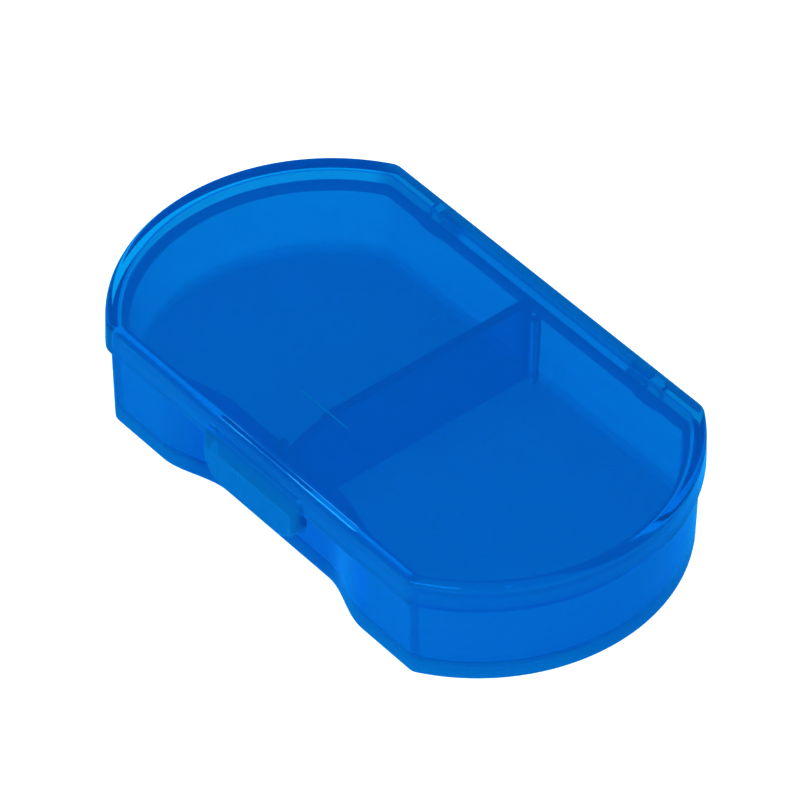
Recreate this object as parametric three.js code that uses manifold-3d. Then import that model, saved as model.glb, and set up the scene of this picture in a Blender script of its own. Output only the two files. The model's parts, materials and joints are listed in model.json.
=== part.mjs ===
// A flat pocket pill case: a two-compartment tray, a drop-in divider and a hinged snap lid.
// Units are millimetres. +Z is up, -Y is the thumb-tongue side, +Y is the hinge side.
// The origin is on the surface the case stands on, under the middle of the lid.

import * as THREE from 'three';
import { mergeVertices } from 'three/addons/utils/BufferGeometryUtils.js';
import Module from 'manifold-3d';

const wasm = await Module();
wasm.setup();

// Driving dimensions of the case.
const caseLength = 66.6;
const caseWidth = 37.6;
const endBulge = 10.3;
const cornerRadius = 2;
const leastCorner = 0.3;

// Tray.
const trayInset = 0.7;
const trayHeight = 9.6;
const floorThickness = 1.6;
const trayWall = 1.6;
const trayBottomRound = 1;
const lipRise = 1.4;

// Lid.
const lidHeight = 3.5;
const skirtWall = 1.2;
const plateThickness = 1.2;
const lidTopRound = 1;
const partingGap = 0.3;
const lipGap = 0.3;

// Finger recess in the tray's front wall.
const recessDepth = 2;
const recessFlat = 8.5;
const recessReach = 14.8;
const recessWall = 1.4;
const recessRoof = 0.9;

// Thumb tongue on the lid, hanging in front of the recess.
const tongueWidth = 14;
const tongueReach = 0.9;
const tongueThickness = 1.5;
const tongueDrop = 4.2;
const tongueSlopeHeight = 2;
const tongueCornerRadius = 3;

// Hinge: a barrel on the tray between two lugs with stub pins on the lid.
const barrelLength = 30;
const barrelRadius = 1.2;
const hingeReach = 0.3;
const hingeRise = 0.3;
const lugLength = 2;
const lugRadius = 1.1;
const lugGap = 0.3;
const pinRadius = 0.5;
const pinLength = 1.8;
const pinGap = 0.3;
const hingeGap = 0.3;

// Divider and the ribs that hold its ends.
const dividerThickness = 1.2;
const dividerGap = 0.2;
const dividerHeadroom = 0.45;
const ribThickness = 0.8;
const ribReach = 1;
const ribHeadroom = 0.8;

// Snap bead along the middle of the tray's front lip.
const beadLength = 10;
const beadRadius = 0.25;

// Facets.
const arcPoints = 22;
const cornerPoints = 4;
const curvePoints = 8;
const roundSegments = 4;
const pinSides = 20;
const overlap = 1;
const mergeDistance = 1e-4;

// Heights and places that follow from them.
const halfLength = caseLength / 2;
const halfWidth = caseWidth / 2;
const endRadius = (halfWidth ** 2 + endBulge ** 2) / (2 * endBulge);
const endCentre = halfLength - endRadius;
const lidBottom = trayHeight + partingGap;
const caseHeight = lidBottom + lidHeight;
const lidCeiling = caseHeight - plateThickness;
const lipInset = skirtWall + lipGap;
const lipTop = trayHeight + lipRise;
const cavityInset = trayInset + trayWall;
const lipFoot = trayHeight - recessRoof;
const trayFront = -(halfWidth - trayInset);
const recessBack = trayFront + recessDepth;
const hingeY = halfWidth - hingeReach;
const hingeZ = lidBottom + hingeRise;

function toSolid(geometry) {
  const bare = geometry.clone();
  bare.deleteAttribute('normal');
  bare.deleteAttribute('uv');
  const merged = mergeVertices(bare, mergeDistance);
  return new wasm.Manifold(new wasm.Mesh({
    numProp: 3,
    vertProperties: new Float32Array(merged.attributes.position.array),
    triVerts: new Uint32Array(merged.index.array)
  }));
}

function toMesh(name, solid, look) {
  const result = solid.getMesh();
  const geometry = new THREE.BufferGeometry();
  geometry.setAttribute('position', new THREE.BufferAttribute(new Float32Array(result.vertProperties), 3));
  geometry.setIndex(new THREE.BufferAttribute(new Uint32Array(result.triVerts), 1));
  geometry.computeVertexNormals();
  const mesh = new THREE.Mesh(geometry, new THREE.MeshStandardMaterial(look));
  mesh.name = name;
  return mesh;
}

function box(x0, x1, y0, y1, z0, z1) {
  const geometry = new THREE.BoxGeometry(x1 - x0, y1 - y0, z1 - z0);
  geometry.translate((x0 + x1) / 2, (y0 + y1) / 2, (z0 + z1) / 2);
  return toSolid(geometry);
}

// A round bar along X between two stations, given in either order.
function barAlongX(radius, x0, x1, y, z) {
  const geometry = new THREE.CylinderGeometry(radius, radius, Math.abs(x1 - x0), pinSides);
  geometry.rotateZ(Math.PI / 2);
  geometry.translate((x0 + x1) / 2, y, z);
  return toSolid(geometry);
}

function hingeBar(radius, x0, x1) {
  return barAlongX(radius, x0, x1, hingeY, hingeZ);
}

// The case's plan, stepped in by an inset: two straight sides joined by two large arcs,
// with a small corner round where an arc meets a side.
function casePlan(inset) {
  const side = halfWidth - inset;
  const radius = endRadius - inset;
  const corner = Math.max(cornerRadius - inset, leastCorner);
  const cornerY = side - corner;
  const cornerX = endCentre + Math.sqrt((radius - corner) ** 2 - cornerY ** 2);
  const endAngle = Math.atan2(cornerY, cornerX - endCentre);
  const points = [];
  const addArc = (centreX, centreY, r, from, to, steps) => {
    for (let i = 0; i <= steps; i++) {
      const angle = from + (to - from) * i / steps;
      points.push(new THREE.Vector2(centreX + r * Math.cos(angle), centreY + r * Math.sin(angle)));
    }
  };
  for (const turn of [0, Math.PI]) {
    const way = turn === 0 ? 1 : -1;
    const quarter = Math.PI / 2;
    addArc(way * cornerX, -way * cornerY, corner, turn - quarter, turn - endAngle, cornerPoints);
    addArc(way * endCentre, 0, radius, turn - endAngle, turn + endAngle, arcPoints);
    addArc(way * cornerX, way * cornerY, corner, turn + endAngle, turn + quarter, cornerPoints);
  }
  const kept = points.filter((point, i) => i === 0 || point.distanceTo(points[i - 1]) > mergeDistance);
  return new THREE.Shape(kept);
}

function slab(shape, z0, z1) {
  const geometry = new THREE.ExtrudeGeometry(shape, { depth: z1 - z0, bevelEnabled: false });
  geometry.translate(0, 0, z0);
  return toSolid(geometry);
}

// A slab whose lower and upper edges are both rounded.
function roundedSlab(shape, z0, z1, round) {
  const geometry = new THREE.ExtrudeGeometry(shape, {
    depth: z1 - z0 - 2 * round,
    bevelEnabled: true,
    bevelThickness: round,
    bevelSize: round,
    bevelOffset: -round,
    bevelSegments: roundSegments
  });
  geometry.translate(0, 0, z0 + round);
  return toSolid(geometry);
}

// The recess in plan: straight along its back, with an S-curve out to the wall at each end.
function recessPlan(backY, flat, reach, openY) {
  const shape = new THREE.Shape();
  const middle = (flat + reach) / 2;
  const wallY = trayFront + (backY - recessBack);
  shape.moveTo(-reach, openY);
  shape.lineTo(reach, openY);
  shape.lineTo(reach, wallY);
  shape.bezierCurveTo(middle, wallY, middle, backY, flat, backY);
  shape.lineTo(-flat, backY);
  shape.bezierCurveTo(-middle, backY, -middle, wallY, -reach, wallY);
  return new THREE.Shape(shape.extractPoints(curvePoints).shape);
}

function buildTray() {
  const trayPlan = casePlan(trayInset);
  const rounded = roundedSlab(trayPlan, 0, trayHeight + trayBottomRound, trayBottomRound);
  const above = box(-caseLength, caseLength, -caseWidth, caseWidth, trayHeight, caseHeight);
  const body = rounded.subtract(above);
  const lip = slab(casePlan(lipInset), lipFoot, lipTop);
  const outOfTray = trayFront - overlap;
  const recess = slab(
    recessPlan(recessBack, recessFlat, recessReach, outOfTray), -overlap, trayHeight + overlap);
  const innerBulge = slab(
    recessPlan(recessBack + recessWall, recessFlat, recessReach + recessWall, outOfTray), 0, caseHeight);
  const cavity = slab(casePlan(cavityInset), floorThickness, caseHeight).subtract(innerBulge);
  const barrel = hingeBar(barrelRadius, -barrelLength / 2, barrelLength / 2);
  const bead = barAlongX(
    beadRadius, -beadLength / 2, beadLength / 2, -(halfWidth - lipInset), (trayHeight + lipTop) / 2);

  let tray = body.subtract(recess).add(lip).add(barrel).subtract(cavity).add(bead);
  const backWall = halfWidth - cavityInset;
  const frontWall = recessBack + recessWall;
  const ribInner = dividerThickness / 2 + dividerGap;
  for (const side of [-1, 1]) {
    const near = Math.min(side * ribInner, side * (ribInner + ribThickness));
    const far = near + ribThickness;
    const ribTop = lipTop - ribHeadroom;
    const ribFoot = floorThickness / 2;
    tray = tray.add(box(near, far, backWall - ribReach, backWall + trayWall / 2, ribFoot, ribTop));
    tray = tray.add(box(near, far, frontWall - recessWall / 2, frontWall + ribReach, ribFoot, ribTop));
    const lugNear = side * (barrelLength / 2);
    const lugFar = side * (barrelLength / 2 + lugGap + lugLength + lugGap);
    tray = tray.subtract(hingeBar(lugRadius + hingeGap, lugNear, lugFar));
    const holeEnd = side * (barrelLength / 2 - pinLength - pinGap);
    tray = tray.subtract(hingeBar(pinRadius + pinGap, holeEnd, lugNear));
  }
  return tray;
}

function buildDivider() {
  const half = dividerThickness / 2;
  const front = recessBack + recessWall + dividerGap;
  const back = halfWidth - cavityInset - dividerGap;
  return box(-half, half, front, back, floorThickness + dividerGap, lidCeiling - dividerHeadroom);
}

// The tongue: a side profile across the case, trimmed to a round-cornered face.
function buildTongue() {
  const face = -(halfWidth + tongueReach);
  const back = face + tongueThickness;
  const foot = lidBottom - tongueDrop;
  const bend = lidBottom;
  const profile = new THREE.Shape();
  profile.moveTo(face, foot);
  profile.lineTo(back, foot);
  profile.lineTo(back, bend);
  profile.lineTo(-(halfWidth - skirtWall / 2), bend);
  profile.lineTo(-(halfWidth - skirtWall / 2), bend + tongueSlopeHeight);
  profile.lineTo(-halfWidth, bend + tongueSlopeHeight);
  profile.lineTo(face, bend);
  const side = new THREE.ExtrudeGeometry(profile, { depth: tongueWidth, bevelEnabled: false });
  side.rotateX(Math.PI / 2);
  side.rotateZ(Math.PI / 2);
  side.translate(-tongueWidth / 2, 0, 0);
  const elevation = new THREE.Shape();
  const half = tongueWidth / 2;
  const top = lidCeiling;
  elevation.moveTo(-half, top);
  elevation.lineTo(-half, foot + tongueCornerRadius);
  elevation.absarc(-half + tongueCornerRadius, foot + tongueCornerRadius, tongueCornerRadius,
    Math.PI, 1.5 * Math.PI, false);
  elevation.absarc(half - tongueCornerRadius, foot + tongueCornerRadius, tongueCornerRadius,
    1.5 * Math.PI, 2 * Math.PI, false);
  elevation.lineTo(half, top);
  const front = new THREE.ExtrudeGeometry(elevation, {
    depth: halfWidth,
    bevelEnabled: false,
    curveSegments: curvePoints
  });
  front.rotateX(Math.PI / 2);
  front.translate(0, face + halfWidth - overlap, 0);
  return { side: toSolid(side), front: toSolid(front) };
}

function buildLid() {
  const rounded = roundedSlab(casePlan(0), lidBottom - lidTopRound, caseHeight, lidTopRound);
  const below = box(-caseLength, caseLength, -caseWidth, caseWidth, 0, lidBottom);
  const cavity = slab(casePlan(skirtWall), 0, lidCeiling);
  const tongue = buildTongue();
  const hingeHalf = barrelLength / 2 + lugGap;
  const hingeCut = box(
    -hingeHalf, hingeHalf, halfWidth - skirtWall - overlap, halfWidth + overlap,
    0, hingeZ + barrelRadius + hingeGap);
  let lid = rounded.subtract(below).subtract(cavity).subtract(hingeCut);
  lid = lid.add(tongue.side.intersect(tongue.front));
  for (const side of [-1, 1]) {
    const lugStart = side * hingeHalf;
    const lugEnd = side * (hingeHalf + lugLength);
    const pinTip = side * (hingeHalf - pinLength);
    lid = lid.add(hingeBar(lugRadius, lugStart, lugEnd));
    lid = lid.add(hingeBar(pinRadius, pinTip, lugEnd));
  }
  return lid;
}

const blue = { color: 0x0a66cc, roughness: 0.2, metalness: 0 };
const paleBlue = { color: 0x1f86e0, roughness: 0.15, metalness: 0 };
const deepBlue = { color: 0x0650b0, roughness: 0.2, metalness: 0 };

const pillCase = new THREE.Group();
pillCase.add(toMesh('base_tray', buildTray(), blue));
pillCase.add(toMesh('divider', buildDivider(), deepBlue));
pillCase.add(toMesh('lid', buildLid(), paleBlue));

export default pillCase;
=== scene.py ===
import json
import math

import bmesh
import bpy
from mathutils import Matrix, Vector


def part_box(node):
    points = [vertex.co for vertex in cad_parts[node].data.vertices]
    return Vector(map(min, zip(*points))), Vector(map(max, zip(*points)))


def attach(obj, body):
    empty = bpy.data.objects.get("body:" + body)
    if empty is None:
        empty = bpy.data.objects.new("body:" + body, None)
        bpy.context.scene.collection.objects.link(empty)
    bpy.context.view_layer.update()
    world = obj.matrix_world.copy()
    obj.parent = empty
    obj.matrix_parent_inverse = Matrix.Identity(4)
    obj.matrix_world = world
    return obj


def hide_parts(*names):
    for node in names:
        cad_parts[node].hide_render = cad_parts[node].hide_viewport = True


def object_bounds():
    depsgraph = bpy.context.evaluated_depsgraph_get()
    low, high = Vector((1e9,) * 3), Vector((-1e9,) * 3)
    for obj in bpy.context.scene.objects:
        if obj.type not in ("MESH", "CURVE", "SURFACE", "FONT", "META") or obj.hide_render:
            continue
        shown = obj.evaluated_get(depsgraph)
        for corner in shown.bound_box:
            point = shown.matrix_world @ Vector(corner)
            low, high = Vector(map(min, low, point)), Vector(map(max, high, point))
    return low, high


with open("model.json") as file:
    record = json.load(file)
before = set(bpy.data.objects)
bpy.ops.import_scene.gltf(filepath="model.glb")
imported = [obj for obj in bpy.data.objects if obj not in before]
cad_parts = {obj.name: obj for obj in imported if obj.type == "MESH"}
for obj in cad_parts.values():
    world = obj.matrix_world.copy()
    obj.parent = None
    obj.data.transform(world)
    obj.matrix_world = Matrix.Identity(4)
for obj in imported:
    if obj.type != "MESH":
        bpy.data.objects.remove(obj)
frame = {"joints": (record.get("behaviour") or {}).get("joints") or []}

cadBox = [list(corner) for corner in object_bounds()]

# Shapes are drawn in millimetres, and a finished piece is brought to metres.
mm = 0.001
scene = bpy.context.scene
lidLow, lidHigh = [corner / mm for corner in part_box("lid")]
dividerLow, dividerHigh = [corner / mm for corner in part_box("divider")]
hinge = Vector(frame["joints"][0]["pos_m"]) / mm   # the case has one joint

# The plan that both shells follow: two flats joined by two large arcs.
case = {
    "hingeReach": 0.3,        # the lid's rear flat stands this far behind the hinge axis
    "endBulge": 10.3,         # how far an end arc comes out from its corners
    "cornerRadius": 2.0,
    "leastCorner": 0.3,
    "arcSteps": 72,
    "cornerSteps": 6,
    "frontCuts": 95,
    "recessFlat": 7.8,        # from the middle, where the recess starts to come out
    "recessReach": 15.3,      # and where it ends, outside and inside
    "bulgeReach": 16.6,
    "lidHeight": 3.5,
    "rimSteps": 6,
    "smallSteps": 3,
    "barSides": 32,
    "sharpAngle": 32,
    "weldReach": 0.001,
}
halfLength = lidHigh.x
halfWidth = hinge.y + case["hingeReach"]
endRadius = (halfWidth ** 2 + case["endBulge"] ** 2) / (2 * case["endBulge"])
endCentre = halfLength - endRadius
lidTop = lidHigh.z
lidFoot = lidTop - case["lidHeight"]


def onlyVerts(items):
    return [item for item in items if isinstance(item, bmesh.types.BMVert)]


def onlyEdges(items):
    return [item for item in items if isinstance(item, bmesh.types.BMEdge)]


# The vertex that mirrors another one on the far side of the case.
def twin(vert, others):
    place = Vector((-vert.co.x, vert.co.y, vert.co.z))
    return min(others, key=lambda other: (other.co - place).length)


# How far into the recess a point of the front wall is: 1 along its middle, 0 past its ends.
def recessShare(x, reach):
    step = (reach - abs(x)) / (reach - case["recessFlat"])
    step = min(max(step, 0), 1)
    return step * step * (3 - 2 * step)


# One closed outline at a height. Over the recess its front goes to frontY and down by frontDrop.
def outline(inset, height, frontY=None, reach=None, frontDrop=0):
    bm = bmesh.new()
    side = halfWidth - inset
    radius = endRadius - inset
    corner = max(case["cornerRadius"] - inset, case["leastCorner"])
    cornerY = side - corner
    cornerX = endCentre + math.sqrt((radius - corner) ** 2 - cornerY ** 2)
    endAngle = math.atan2(cornerY, cornerX - endCentre)
    cornerAngle = math.pi / 2 - endAngle
    frontRight = bm.verts.new((cornerX, -side, height))
    turns = (
        ((cornerX, -cornerY, height), cornerAngle, case["cornerSteps"]),
        ((endCentre, 0, height), 2 * endAngle, case["arcSteps"]),
        ((cornerX, cornerY, height), cornerAngle, case["cornerSteps"]),
    )
    last = frontRight
    for centre, angle, steps in turns:
        spun = bmesh.ops.spin(
            bm, geom=[last], cent=centre, axis=(0, 0, 1), angle=angle, steps=steps)
        last = onlyVerts(spun["geom_last"])[0]
    rightHalf = list(bm.edges)
    mirrored = bmesh.ops.mirror(
        bm, geom=rightHalf + list(bm.verts), matrix=Matrix.Identity(4), merge_dist=0, axis="X")
    leftHalf = [edge for edge in onlyEdges(mirrored["geom"]) if edge not in rightHalf]
    leftVerts = [vert for edge in leftHalf for vert in edge.verts]
    bm.edges.new((last, twin(last, leftVerts)))
    frontEdge = bm.edges.new((frontRight, twin(frontRight, leftVerts)))
    front = bmesh.ops.subdivide_edges(bm, edges=[frontEdge], cuts=case["frontCuts"])
    if frontY is not None:
        for vert in onlyVerts(front["geom_inner"]):
            share = recessShare(vert.co.x, reach)
            vert.co.y += (frontY + side) * share
            vert.co.z -= frontDrop * share
    return meshFrom(bm, "outline")


def meshFrom(bm, name):
    mesh = bpy.data.meshes.new(name)
    bmesh.ops.recalc_face_normals(bm, faces=bm.faces)
    bm.to_mesh(mesh)
    bm.free()
    return mesh


def roundEdges(bm, edges, radius, segments):
    bmesh.ops.bevel(
        bm, geom=edges, offset=radius, offset_type="OFFSET", affect="EDGES",
        segments=segments, profile=0.5, material=-1, clamp_overlap=True)


# A closed shell lofted through rings of (inset, height, frontY, reach, frontDrop, rounding).
def loftShell(rings):
    bm = bmesh.new()
    for ring in rings:
        ringMesh = outline(*ring[:-1])
        bm.from_mesh(ringMesh)
        bpy.data.meshes.remove(ringMesh)
    bm.edges.ensure_lookup_table()
    count = len(bm.edges) // len(rings)
    loops = [bm.edges[i * count:(i + 1) * count] for i in range(len(rings))]
    for lower, upper in zip(loops, loops[1:]):
        bmesh.ops.bridge_loops(bm, edges=lower + upper)
    bmesh.ops.contextual_create(bm, geom=loops[0])
    bmesh.ops.contextual_create(bm, geom=loops[-1])
    bmesh.ops.recalc_face_normals(bm, faces=bm.faces)
    for loop, ring in zip(loops, rings):
        if ring[-1]:
            roundEdges(bm, loop, ring[-1], case["rimSteps"])
    return bm


def boxShape(low, high, rounding=0, segments=case["smallSteps"]):
    bm = bmesh.new()
    bmesh.ops.create_cube(bm, size=1)
    size = [high[i] - low[i] for i in range(3)]
    middle = [(high[i] + low[i]) / 2 for i in range(3)]
    bmesh.ops.scale(bm, vec=size, verts=bm.verts)
    bmesh.ops.translate(bm, vec=middle, verts=bm.verts)
    if rounding:
        roundEdges(bm, list(bm.edges), rounding, segments)
    return bm


def turnShape(bm, angle, axis):
    bmesh.ops.rotate(bm, cent=(0, 0, 0), matrix=Matrix.Rotation(angle, 3, axis), verts=bm.verts)


# A round bar along X on the hinge axis, with its ends rounded over when asked.
def hingeBar(radius, fromX, toX, roundOver=0, sides=case["barSides"]):
    bm = bmesh.new()
    bmesh.ops.create_cone(
        bm, cap_ends=True, segments=sides, radius1=radius, radius2=radius, depth=abs(toX - fromX))
    turnShape(bm, math.pi / sides, "Z")
    rims = [
        edge for edge in bm.edges
        if abs(edge.verts[0].co.z - edge.verts[1].co.z) < case["weldReach"]]
    if roundOver:
        roundEdges(bm, rims, roundOver, case["smallSteps"])
    turnShape(bm, math.pi / 2, "Y")
    bmesh.ops.translate(bm, vec=((fromX + toX) / 2, hinge.y, hinge.z), verts=bm.verts)
    return bm


# Joins and cuts a body with a list of ("UNION" or "DIFFERENCE", shape) pairs, in their order.
def assemble(name, body, changes):
    piece = bpy.data.objects.new(name, meshFrom(body, name))
    scene.collection.objects.link(piece)
    for operation, shape in changes:
        uncut = piece.data
        tool = meshFrom(shape, "helper")
        helper = bpy.data.objects.new("helper", tool)
        scene.collection.objects.link(helper)
        cut = piece.modifiers.new("cut", "BOOLEAN")
        cut.operation = operation
        cut.solver = "EXACT"
        cut.object = helper
        evaluated = piece.evaluated_get(bpy.context.evaluated_depsgraph_get())
        joined = bpy.data.meshes.new_from_object(evaluated)
        piece.modifiers.clear()
        piece.data = joined
        bpy.data.objects.remove(helper)
        for used in (tool, uncut):
            bpy.data.meshes.remove(used)
    return piece


# Cleans a piece's mesh, brings it to metres, smooths it and gives it its finish and its place.
def finishPiece(piece, node, body, finish):
    bm = bmesh.new()
    bm.from_mesh(piece.data)
    bmesh.ops.remove_doubles(bm, verts=bm.verts, dist=case["weldReach"])
    bmesh.ops.dissolve_degenerate(bm, edges=bm.edges, dist=case["weldReach"] / 2)
    bmesh.ops.scale(bm, vec=(mm, mm, mm), verts=bm.verts)
    bmesh.ops.recalc_face_normals(bm, faces=bm.faces)
    for face in bm.faces:
        face.smooth = True
    bm.to_mesh(piece.data)
    bm.free()
    piece.data.name = piece.name
    piece.data.set_sharp_from_angle(angle=math.radians(case["sharpAngle"]))
    even = piece.modifiers.new("evenNormals", "WEIGHTED_NORMAL")
    even.keep_sharp = True
    piece.data.materials.clear()
    piece.data.materials.append(materials[finish])
    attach(piece, body)
    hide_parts(node)
    print(f"{piece.name}: {len(piece.data.polygons)} faces")
    return piece


# A socket that can be used in sums: an expression on it adds its Math nodes.
class Wire:
    def __init__(self, maker, socket):
        self.maker = maker
        self.socket = socket

    def maths(self, operation, first, second=0):
        return self.maker.add("ShaderNodeMath", {"operation": operation}, {0: first, 1: second})

    def __add__(self, other):
        return self.maths("ADD", self, other)

    def __radd__(self, other):
        return self.maths("ADD", other, self)

    def __sub__(self, other):
        return self.maths("SUBTRACT", self, other)

    def __rsub__(self, other):
        return self.maths("SUBTRACT", other, self)

    def __mul__(self, other):
        return self.maths("MULTIPLY", self, other)

    def __rmul__(self, other):
        return self.maths("MULTIPLY", other, self)

    def __lt__(self, other):
        return self.maths("LESS_THAN", self, other)

    def __gt__(self, other):
        return self.maths("GREATER_THAN", self, other)

    def __abs__(self):
        return self.maths("ABSOLUTE", self)


# Makes a material's nodes.
class NodeMaker:
    def __init__(self, name):
        self.material = bpy.data.materials.new(name)
        self.material.use_nodes = True
        self.tree = self.material.node_tree
        self.tree.nodes.clear()

    def add(self, kind, settings=None, inputs=None, output=0):
        node = self.tree.nodes.new(kind)
        for key, value in (settings or {}).items():
            setattr(node, key, value)
        for key, value in (inputs or {}).items():
            if isinstance(value, Wire):
                self.tree.links.new(value.socket, node.inputs[key])
            else:
                node.inputs[key].default_value = value
        if not node.outputs:
            return None
        return Wire(self, node.outputs[output])

    def noise(self, place, scale, detail):
        return self.add(
            "ShaderNodeTexNoise", None, {"Vector": place, "Scale": scale, "Detail": detail})

    # 0 up to a distance of nothing, then up to 1 over the fade.
    def fadeIn(self, distance, fade):
        return self.add("ShaderNodeClamp", None, {"Value": distance * (1 / fade)})

    def mix(self, share, first, second):
        return self.add("ShaderNodeMixShader", None, {"Fac": share, 1: first, 2: second})


# What the three mouldings share. A haze is a share of milky plastic.
bluePlastic = {
    "tint": (0.72, 0.93, 1.0, 1),
    "bend": 1.46,
    "gloss": (0.012, 0.42, 1.0, 1),
    "density": 1600,
    "pass": (0.7, 0.97, 1.0, 1),
    "glow": 0.4,
    "floorHaze": 0,
    "recessPaintedShade": 0,
    "edgeHaze": 0,
    "cloudScale": 110,
    "cloudShare": 0.7,
    "flowScale": 320,
    "flowStretch": (0.25, 1, 1),
    "flowShare": 0.8,
    "speckleScale": 2600,
    "waveDepth": 0.001,
    "bandScale": 900,
    "bandStretch": (0.12, 0.12, 1),
    "bandMiddle": 0.5,
}
plastic = {
    "trayPlastic": {
        **bluePlastic,
        "slot": "tray_plastic",
        "absorb": (0.0, 0.84, 0.976, 1),
        "milk": (0.0006, 0.142, 0.365, 1),
        "haze": 0.4,
        "hazeSwing": 0.2,
        "floorHaze": 0.24,
        # Less milk in the front recess: a painted shade where the tongue shades the tray.
        "recessPaintedShade": -0.24,
        "roughness": (0.008, 0.04),
        "grain": 0.02,
        "seed": 3.0,
    },
    "dividerPlastic": {
        **bluePlastic,
        "slot": "divider_plastic",
        "absorb": (0.0, 0.84, 0.976, 1),
        "milk": (0.0006, 0.115, 0.38, 1),
        "haze": 0.42,
        "hazeSwing": 0.06,
        "roughness": (0.01, 0.05),
        "grain": 0.03,
        "seed": 8.0,
    },
    "lidPlastic": {
        **bluePlastic,
        "slot": "lid_plastic",
        "absorb": (0.0, 0.845, 0.945, 1),
        "milk": (0.0006, 0.135, 0.36, 1),
        "haze": 0.24,
        "hazeSwing": 0.08,
        "edgeHaze": 0.38,
        "roughness": (0.003, 0.02),
        "grain": 0.015,
        "seed": 13.0,
    },
}

# Where the haze changes, in metres on the closed case.
skinEdge = {"front": 0.0185, "rear": 0.0172, "fade": 0.0009}   # the lid's tongue and rear band
skinFloor = {"top": 0.0025, "fade": 0.0006}
# Painted shade: the front recess under the tongue, where the tray gets less milk so that it shows
# darker.
paintedShadeZone = {"half": 0.0135, "back": 0.0153, "open": 0.0176, "fade": 0.0008}
skinLine = {"half": 0.0035, "thick": 0.0001, "y": -0.010, "top": 0.013}   # a thin milky line over a groove on the lid's top


# How milky the plastic is from place to place: slow level bands, and the zones above. Less milk in
# the front recess is a painted shade under the tongue.
def milkyShare(maker, look, place, moved):
    levelled = maker.add(
        "ShaderNodeMapping", None, {"Vector": moved, "Scale": look["bandStretch"]})
    bands = maker.noise(levelled, look["bandScale"], 2)
    acrossX, acrossY, upZ = [
        maker.add("ShaderNodeSeparateXYZ", None, {"Vector": place}, output=axis) for axis in "XYZ"]
    awayX = abs(acrossX)
    nearEdge = maker.fadeIn(-skinEdge["front"] - acrossY, skinEdge["fade"])
    nearEdge = nearEdge + maker.fadeIn(acrossY - skinEdge["rear"], skinEdge["fade"])
    onFloor = maker.fadeIn(skinFloor["top"] - upZ, skinFloor["fade"])
    # Painted shade: the front recess under the tongue is made less milky so that it reads darker.
    inPaintedShade = maker.fadeIn(paintedShadeZone["half"] - awayX, paintedShadeZone["fade"])
    inPaintedShade = inPaintedShade * maker.fadeIn(acrossY + paintedShadeZone["open"], paintedShadeZone["fade"])
    inPaintedShade = inPaintedShade * maker.fadeIn(-paintedShadeZone["back"] - acrossY, paintedShadeZone["fade"])
    onLine = abs(acrossY - skinLine["y"]) < skinLine["thick"]
    onLine = onLine * (awayX < skinLine["half"])
    onLine = onLine * (upZ > skinLine["top"])
    share = look["haze"] + look["hazeSwing"] * (bands - look["bandMiddle"])
    share = share + look["edgeHaze"] * nearEdge
    return share + look["floorHaze"] * onFloor + look["recessPaintedShade"] * inPaintedShade + onLine


# Clear blue plastic: an absorbing body, a smooth skin with slow moulding waves, and some milk.
def makePlastic(name):
    look = plastic[name]
    maker = NodeMaker(name)
    place = maker.add("ShaderNodeTexCoord", output="Object")
    moved = maker.add(
        "ShaderNodeMapping", None, {"Vector": place, "Location": (look["seed"],) * 3})
    stretched = maker.add(
        "ShaderNodeMapping", None, {"Vector": moved, "Scale": look["flowStretch"]})
    cloud = maker.noise(moved, look["cloudScale"], 3)
    flow = maker.noise(stretched, look["flowScale"], 2)
    speckle = maker.noise(moved, look["speckleScale"], 1)
    smooth, scuffed = look["roughness"]
    scuffs = look["cloudShare"] * cloud + (1 - look["cloudShare"]) * speckle
    roughness = smooth + (scuffed - smooth) * scuffs
    height = flow * look["flowShare"] + speckle * (1 - look["flowShare"])
    waves = maker.add(
        "ShaderNodeBump", None,
        {"Height": height, "Strength": look["grain"], "Distance": look["waveDepth"]})
    bent = maker.add(
        "ShaderNodeBsdfRefraction", None,
        {"Color": look["tint"], "Roughness": roughness, "IOR": look["bend"], "Normal": waves})
    mirror = maker.add(
        "ShaderNodeBsdfGlossy", None,
        {"Color": look["gloss"], "Roughness": roughness, "Normal": waves})
    edgeOn = maker.add("ShaderNodeFresnel", None, {"IOR": look["bend"], "Normal": waves})
    clear = maker.mix(edgeOn, bent, mirror)
    # The milky share scatters light at the skin instead of letting it through.
    milk = maker.add("ShaderNodeBsdfDiffuse", None, {"Color": look["milk"], "Normal": waves})
    glow = maker.add("ShaderNodeBsdfTranslucent", None, {"Color": look["milk"], "Normal": waves})
    milky = maker.mix(look["glow"], milk, glow)
    surface = maker.mix(milkyShare(maker, look, place, moved), clear, milky)
    # Light that only passes through on its way to another surface isn't bent, so that it arrives.
    shadowRay = maker.add("ShaderNodeLightPath", output="Is Shadow Ray")
    diffuseRay = maker.add("ShaderNodeLightPath", output="Is Diffuse Ray")
    passing = shadowRay.maths("MAXIMUM", shadowRay, diffuseRay)
    straight = maker.add("ShaderNodeBsdfTransparent", None, {"Color": look["pass"]})
    shown = maker.mix(passing, surface, straight)
    body = maker.add(
        "ShaderNodeVolumeAbsorption", None, {"Color": look["absorb"], "Density": look["density"]})
    maker.add("ShaderNodeOutputMaterial", None, {"Surface": shown, "Volume": body})
    return maker.material


materials = {name: makePlastic(name) for name in plastic}
print("materials made")

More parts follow.
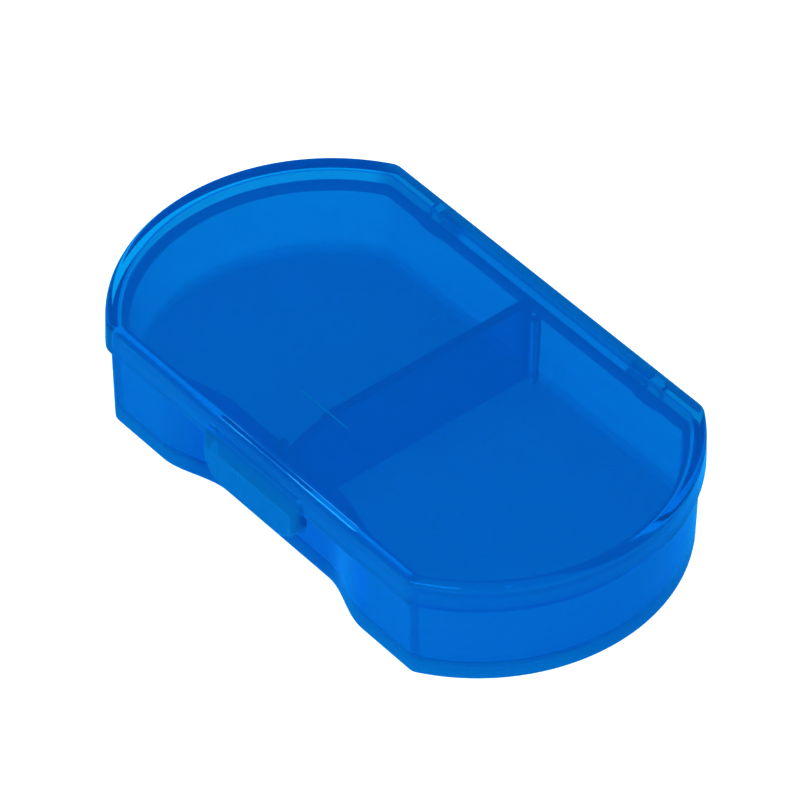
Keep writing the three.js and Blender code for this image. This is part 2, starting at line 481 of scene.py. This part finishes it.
tray = {
    "footInset": 0.75,
    "shoulderInset": 0.55,
    "shoulderHeight": 9.6,
    "lipInset": 1.5,
    "lipTop": 11.0,
    "cavityInset": 2.3,
    "floorInset": 2.55,
    "floorTop": 1.6,
    "recessBack": -16.1,
    "recessInner": -14.7,
    "recessRoof": 0.9,
    "footRound": 0.6,
    "shoulderRound": 0.2,
    "lipRound": 0.3,
    "floorRound": 0.35,
    "barrelHalf": 15.0,
    "barrelRadius": 1.2,
    "barrelRound": 0.15,
    "reliefRadius": 1.4,
    "reliefEnd": 17.6,
    "holeRadius": 0.8,
    "holeEnd": 12.9,
    "holeSpare": 0.1,
    "ribThickness": 0.8,
    "ribReach": 1.0,
    "ribTop": 10.2,
    "ribGap": 0.2,
    "ribRound": 0.12,
    "rearRoot": 0.8,          # how far a rib goes into the wall behind it
    "frontRoot": 0.7,
    "beadHalf": 5.0,
    "beadRadius": 0.25,
    "beadSides": 24,
}


def snapBead():
    bm = bmesh.new()
    sides = tray["beadSides"]
    bmesh.ops.create_uvsphere(bm, u_segments=sides, v_segments=sides, radius=tray["beadRadius"])
    bmesh.ops.scale(bm, vec=(tray["beadHalf"] / tray["beadRadius"], 1, 1), verts=bm.verts)
    height = (tray["shoulderHeight"] + tray["lipTop"]) / 2
    bmesh.ops.translate(bm, vec=(0, tray["lipInset"] - halfWidth, height), verts=bm.verts)
    return bm


def buildTray():
    recess = case["recessReach"]
    bulge = case["bulgeReach"]
    roof = tray["recessRoof"]
    shoulder = tray["shoulderHeight"]
    lipFront = tray["lipInset"] - halfWidth
    shell = loftShell((
        (tray["footInset"], 0, tray["recessBack"], recess, 0, tray["footRound"]),
        (tray["shoulderInset"], shoulder, tray["recessBack"], recess, roof, tray["shoulderRound"]),
        (tray["lipInset"], shoulder, lipFront, recess, roof, 0),
        (tray["lipInset"], tray["lipTop"], None, None, 0, tray["lipRound"]),
        (tray["cavityInset"], tray["lipTop"], tray["recessInner"], bulge, 0, tray["lipRound"]),
        (tray["floorInset"], tray["floorTop"], tray["recessInner"], bulge, 0, tray["floorRound"]),
    ))
    barrelEnd = tray["barrelHalf"]
    barrel = hingeBar(tray["barrelRadius"], -barrelEnd, barrelEnd, tray["barrelRound"])
    changes = [("UNION", barrel)]
    rearWall = halfWidth - tray["cavityInset"]
    frontWall = tray["recessInner"]
    foot = tray["floorTop"] / 2
    top = tray["ribTop"]
    reach = tray["ribReach"]
    innerRib = dividerHigh.x + tray["ribGap"]
    outerRib = innerRib + tray["ribThickness"]
    for side in (-1, 1):
        near, far = sorted((side * innerRib, side * outerRib))
        rearRib = boxShape(
            (near, rearWall - reach, foot), (far, rearWall + tray["rearRoot"], top),
            tray["ribRound"])
        frontRib = boxShape(
            (near, frontWall - tray["frontRoot"], foot), (far, frontWall + reach, top),
            tray["ribRound"])
        relief = hingeBar(tray["reliefRadius"], side * barrelEnd, side * tray["reliefEnd"])
        hole = hingeBar(
            tray["holeRadius"], side * tray["holeEnd"], side * (barrelEnd + tray["holeSpare"]))
        changes += [("UNION", rearRib), ("UNION", frontRib)]
        changes += [("DIFFERENCE", relief), ("DIFFERENCE", hole)]
    changes.append(("UNION", snapBead()))
    return assemble("trayShell", shell, changes)


wall = {
    "edgeRound": 0.2,
    "edgeSteps": 4,
    "draft": 0.94,            # how thick the plate's top is against its foot
    "rampStart": 5.5,         # from the front end, where the top edge starts to slope down
    "rampDrop": 2.2,
}


def buildDivider():
    plate = boxShape(dividerLow, dividerHigh, wall["edgeRound"], wall["edgeSteps"])
    rampTop = (0, dividerLow.y + wall["rampStart"], dividerHigh.z)
    rampSlope = (0, -wall["rampDrop"], wall["rampStart"])
    cut = bmesh.ops.bisect_plane(
        plate, geom=list(plate.verts) + list(plate.edges) + list(plate.faces),
        plane_co=rampTop, plane_no=rampSlope, clear_outer=True)
    bmesh.ops.contextual_create(plate, geom=onlyEdges(cut["geom_cut"]))
    middle = (dividerLow.z + dividerHigh.z) / 2
    for vert in plate.verts:
        if vert.co.z > middle:
            vert.co.x *= wall["draft"]
    return assemble("dividerPlate", plate, [])


lid = {
    "topInset": 0.1,
    "topRound": 0.7,
    "skirtWall": 1.2,
    "ceilingInset": 1.3,
    "plate": 1.2,
    "ceilingRound": 0.5,
    "skirtRound": 0.18,
    "cutHalf": 15.3,
    "cutFront": 16.6,
    "cutTop": 11.7,
    "cutSpare": 1.0,
    "lugLength": 2.0,
    "lugRadius": 1.1,
    "lugRound": 0.15,
    "pinRadius": 0.5,
    "pinTip": 13.5,
    "pinRoot": 1.0,           # how far a pin goes into its lug
    "pinRound": 0.12,
    "pinSides": 24,
    "lineWidth": 0.2,
    "gateX": 1.0,
    "gateY": -11.5,
    "gateRadius": 0.45,
    "gateDepth": 0.08,
}
tongue = {
    "halfWidth": 6.9,
    "thickness": 1.5,
    "cornerRadius": 3.0,
    "cornerSteps": 10,
    "slopeTop": 12.1,
    "slopeReach": 1.15,
    "faceRound": 0.62,
    "faceSteps": 5,
    "cutGap": 0.5,            # between the cuts that let the root bend
    "flare": 0.06,
    "rootFlare": 0.1,
}


# The thumb tongue: a round-cornered plate whose upper part leans back into the skirt.
def buildTongue():
    face = lidLow.y
    foot = lidLow.z
    half = tongue["halfWidth"]
    radius = tongue["cornerRadius"]
    top = tongue["slopeTop"]
    bm = bmesh.new()
    highLeft = bm.verts.new((-half, face, foot + radius))
    spun = bmesh.ops.spin(
        bm, geom=[highLeft], cent=(radius - half, face, foot + radius), axis=(0, -1, 0),
        angle=math.pi / 2, steps=tongue["cornerSteps"])
    lowLeft = onlyVerts(spun["geom_last"])[0]
    mirrored = bmesh.ops.mirror(
        bm, geom=list(bm.edges) + list(bm.verts), matrix=Matrix.Identity(4), merge_dist=0,
        axis="X")
    rightVerts = [vert for vert in onlyVerts(mirrored["geom"]) if vert.co.x > 0]
    topLeft = bm.verts.new((-half, face, top))
    topRight = bm.verts.new((half, face, top))
    bm.edges.new((lowLeft, twin(lowLeft, rightVerts)))
    bm.edges.new((highLeft, topLeft))
    bm.edges.new((topLeft, topRight))
    bm.edges.new((topRight, twin(highLeft, rightVerts)))
    bmesh.ops.contextual_create(bm, geom=list(bm.edges))
    grown = bmesh.ops.extrude_face_region(bm, geom=list(bm.faces))
    backVerts = onlyVerts(grown["geom"])
    bmesh.ops.translate(bm, vec=(0, tongue["thickness"], 0), verts=backVerts)
    bmesh.ops.recalc_face_normals(bm, faces=bm.faces)
    onFace = face + case["weldReach"]
    onTop = top - case["weldReach"]
    rim = [edge for edge in bm.edges if all(vert.co.y < onFace for vert in edge.verts)]
    rim = [edge for edge in rim if not all(vert.co.z > onTop for vert in edge.verts)]
    roundEdges(bm, rim, tongue["faceRound"], tongue["faceSteps"])
    gap = tongue["cutGap"]
    for height in (lidFoot - gap, lidFoot, lidFoot + gap, (lidFoot + top) / 2):
        bmesh.ops.bisect_plane(
            bm, geom=list(bm.verts) + list(bm.edges) + list(bm.faces),
            plane_co=(0, 0, height), plane_no=(0, 0, 1))
    back = face + tongue["thickness"]
    for vert in bm.verts:
        rise = max((vert.co.z - lidFoot) / (top - lidFoot), 0)
        depth = (back - vert.co.y) / tongue["thickness"]
        vert.co.y += tongue["slopeReach"] * rise * depth
        vert.co.x *= 1 + tongue["flare"] * (1 - depth) + tongue["rootFlare"] * min(rise, 1)
    return bm


# A fine three-sided groove on the lid's top, under a thin milky line.
def topGroove():
    bm = bmesh.new()
    radius = lid["lineWidth"] / 2
    bmesh.ops.create_cone(
        bm, cap_ends=True, segments=3, radius1=radius, radius2=radius,
        depth=2 * skinLine["half"] / mm)
    turnShape(bm, math.pi / 2, "Y")
    bmesh.ops.translate(bm, vec=(0, skinLine["y"] / mm, lidTop), verts=bm.verts)
    return bm


# The shallow round dimple where the plastic entered the mould.
def gateMark():
    bm = bmesh.new()
    bmesh.ops.create_uvsphere(bm, u_segments=24, v_segments=12, radius=lid["gateRadius"])
    bmesh.ops.scale(bm, vec=(1, 1, lid["gateDepth"] / lid["gateRadius"]), verts=bm.verts)
    bmesh.ops.translate(bm, vec=(lid["gateX"], lid["gateY"], lidTop), verts=bm.verts)
    return bm


def buildLid():
    ceiling = lidTop - lid["plate"]
    shell = loftShell((
        (lid["topInset"], lidTop, None, None, 0, lid["topRound"]),
        (0, lidFoot, None, None, 0, lid["skirtRound"]),
        (lid["skirtWall"], lidFoot, None, None, 0, lid["skirtRound"]),
        (lid["ceilingInset"], ceiling, None, None, 0, lid["ceilingRound"]),
    ))
    cutHalf = lid["cutHalf"]
    hingeCut = boxShape(
        (-cutHalf, lid["cutFront"], 0), (cutHalf, halfWidth + lid["cutSpare"], lid["cutTop"]))
    changes = [("DIFFERENCE", hingeCut), ("UNION", buildTongue())]
    changes += [("DIFFERENCE", topGroove()), ("DIFFERENCE", gateMark())]
    for side in (-1, 1):
        lug = hingeBar(
            lid["lugRadius"], side * cutHalf, side * (cutHalf + lid["lugLength"]),
            lid["lugRound"])
        pin = hingeBar(
            lid["pinRadius"], side * lid["pinTip"], side * (cutHalf + lid["pinRoot"]),
            lid["pinRound"], lid["pinSides"])
        changes += [("UNION", lug), ("UNION", pin)]
    return assemble("lidShell", shell, changes)


finishPiece(buildTray(), "base_tray", "tray", "trayPlastic")
finishPiece(buildDivider(), "divider", "tray", "dividerPlastic")
finishPiece(buildLid(), "lid", "lid", "lidPlastic")
print("case built")

view = {
    "azimuth": 49.77,
    "elevation": 43.53,
    "distance": 0.6454,
    "roll": 0.296,
    "lens": 296.38,
    "sensor": 36,
    "near": 0.01,
    "far": 20,
    "aim": (-0.000871, 0.000353, 0.00094),   # from the middle of the whole case
}


def placeCamera():
    low, high = [Vector(corner) for corner in cadBox]
    azimuth = math.radians(view["azimuth"])
    elevation = math.radians(view["elevation"])
    back = Vector((
        math.sin(azimuth) * math.cos(elevation),
        -math.cos(azimuth) * math.cos(elevation),
        math.sin(elevation)))
    lens = bpy.data.cameras.new("viewer")
    lens.lens = view["lens"]
    lens.sensor_width = view["sensor"]
    lens.clip_start = view["near"]
    lens.clip_end = view["far"]
    viewer = bpy.data.objects.new("viewer", lens)
    scene.collection.objects.link(viewer)
    turn = back.to_track_quat("Z", "Y").to_matrix().to_4x4()
    roll = Matrix.Rotation(math.radians(view["roll"]), 4, "Z")
    place = (low + high) / 2 + Vector(view["aim"]) + back * view["distance"]
    viewer.matrix_world = Matrix.Translation(place) @ turn @ roll
    scene.camera = viewer


placeCamera()

studio = {
    "floorSize": 6,
    "floorGap": 0.0001,
    "floorColour": (0.74, 0.745, 0.735, 1),
    "floorGlow": 0.9,
    "skyColour": (1.0, 1.0, 1.0, 1),
    "skyStrength": 1.3,
    "bounces": 24,            # enough for light to cross all the clear walls
    # name, place, aim, width, height, watts
    "lamps": (
        ("front", (0.35, -0.85, 0.22), (0, 0, 0.006), 0.7, 0.35, 6.5),
        ("edge", (-0.5, -0.33, 0.69), (0, -0.012, 0.013), 0.14, 0.14, 0.2),
        ("corner", (0.75, -0.35, 0.5), (0.02, -0.016, 0.012), 0.08, 0.08, 0.7),
    ),
}


def buildFloor():
    bm = bmesh.new()
    bmesh.ops.create_grid(bm, x_segments=1, y_segments=1, size=studio["floorSize"])
    bmesh.ops.translate(bm, vec=(0, 0, -studio["floorGap"]), verts=bm.verts)
    floor = bpy.data.objects.new("floor", meshFrom(bm, "floor"))
    scene.collection.objects.link(floor)
    maker = NodeMaker("paper")
    surface = maker.add(
        "ShaderNodeBsdfPrincipled", None,
        {"Base Color": studio["floorColour"], "Roughness": 1.0, "Specular IOR Level": 0.0,
         "Emission Color": studio["floorColour"], "Emission Strength": studio["floorGlow"]})
    maker.add("ShaderNodeOutputMaterial", None, {"Surface": surface})
    floor.data.materials.append(maker.material)


def buildLights():
    world = bpy.data.worlds.new("studio")
    world.use_nodes = True
    sky = world.node_tree.nodes["Background"]
    sky.inputs["Color"].default_value = studio["skyColour"]
    sky.inputs["Strength"].default_value = studio["skyStrength"]
    scene.world = world
    for name, place, aim, width, height, watts in studio["lamps"]:
        lamp = bpy.data.lights.new(name, "AREA")
        lamp.shape = "RECTANGLE"
        lamp.size = width
        lamp.size_y = height
        lamp.energy = watts
        holder = bpy.data.objects.new(name, lamp)
        scene.collection.objects.link(holder)
        holder.location = place
        holder.rotation_euler = (Vector(place) - Vector(aim)).to_track_quat("Z", "Y").to_euler()


buildFloor()
buildLights()
scene.view_settings.view_transform = "Standard"
scene.cycles.max_bounces = studio["bounces"]
scene.cycles.transmission_bounces = studio["bounces"]
print("studio ready")
